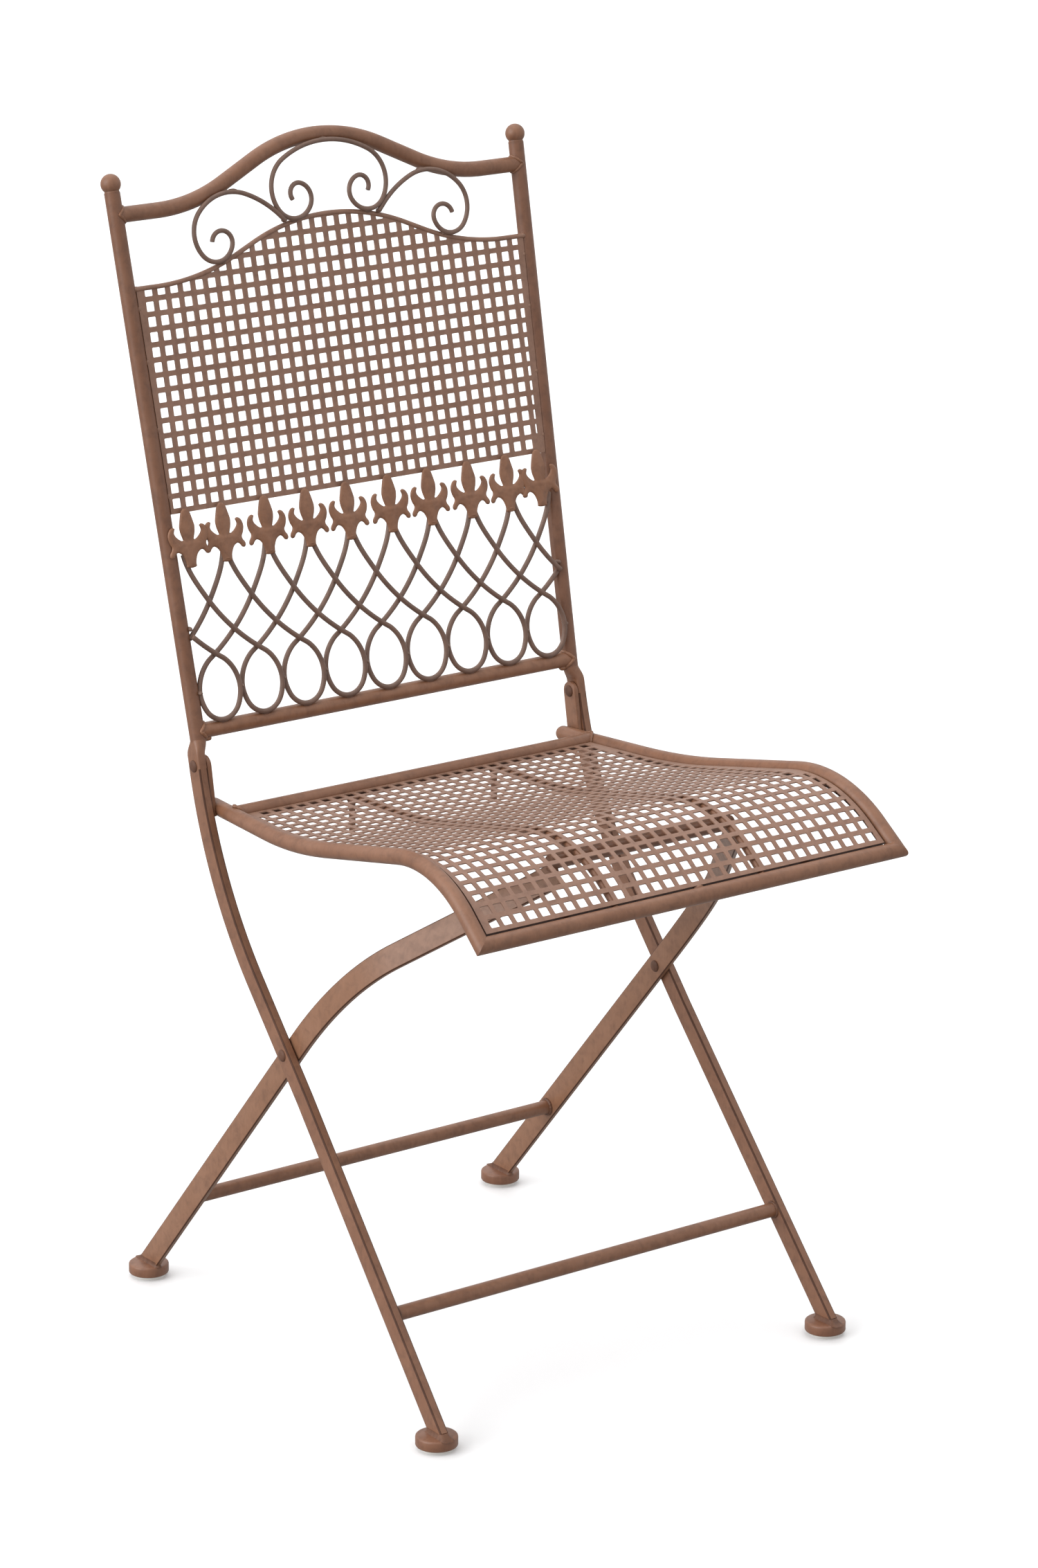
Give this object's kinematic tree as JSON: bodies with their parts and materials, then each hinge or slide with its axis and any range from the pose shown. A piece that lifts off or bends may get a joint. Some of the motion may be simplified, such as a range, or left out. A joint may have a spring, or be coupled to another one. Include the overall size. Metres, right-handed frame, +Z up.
{
  "type": "folding garden chair",
  "caption": "Folding metal garden chair with a contoured perforated seat, crossed legs on disc feet and an arched back with scrolls, a looped wire lattice and fleur-de-lis ornament.",
  "frame": {"origin": "on the floor plane, at the middle of the open chair's bounding box", "axes": "+Z up, the chair faces -Y (front of the seat), +X to the right as seen by someone standing in front of the chair and looking at it"},
  "size_m": [0.43, 0.5306, 0.965],
  "materials": {
    "tube_paint": "satin antique brown paint with a faint darker patina",
    "sheet_paint": "satin antique brown paint on punched sheet",
    "wire_paint": "satin antique brown paint, darker and greyer on the wire work",
    "leg_paint": "satin antique brown paint",
    "foot_paint": "satin antique brown paint",
    "glide": "pale matt plastic",
    "rivet": "dark brown satin"
  },
  "bodies": {
    "back_frame": {"upright_left": "tube_paint", "upright_right": "tube_paint", "finial_left": "tube_paint", "finial_right": "tube_paint", "crest_rail": "tube_paint", "back_bottom_rail": "tube_paint", "back_sheet": "sheet_paint", "sheet_edging": "wire_paint", "scroll_center": "wire_paint", "scroll_left": "wire_paint", "scroll_right": "wire_paint", "wire_lattice": "wire_paint", "fleurs": "wire_paint", "front_leg_left": "leg_paint", "front_leg_right": "leg_paint", "front_stretcher": "tube_paint", "front_foot_left": "foot_paint", "front_foot_right": "foot_paint", "front_glide_left": "glide", "front_glide_right": "glide", "hinge_rivets": "rivet", "cross_rivets": "rivet"},
    "seat": {"seat_rail_left": "tube_paint", "seat_rail_right": "tube_paint", "seat_front_rail": "tube_paint", "seat_rear_rail": "tube_paint", "seat_sheet": "sheet_paint", "guide_rod_left": "tube_paint", "guide_rod_right": "tube_paint", "hinge_plate_left": "tube_paint", "hinge_plate_right": "tube_paint"},
    "rear_legs": {"rear_leg_left": "leg_paint", "rear_leg_right": "leg_paint", "rear_stretcher": "tube_paint", "slide_crossbar": "tube_paint", "rear_foot_left": "foot_paint", "rear_foot_right": "foot_paint", "rear_glide_left": "glide", "rear_glide_right": "glide"}
  },
  "joints": [
    {"name": "seat_hinge", "type": "hinge", "parent": "back_frame", "child": "seat", "pos_m": [0, 0.1487, 0.4775], "axis": [-1, 0, 0], "range_deg": [0, 95]},
    {"name": "leg_cross_hinge", "type": "hinge", "parent": "back_frame", "child": "rear_legs", "pos_m": [0, 0.0247, 0.265], "axis": [-1, 0, 0], "range_deg": [0, 61]}
  ],
  "couplings": [
    {"joint": "leg_cross_hinge", "follows": "seat_hinge", "ratio": 0.64}
  ]
}
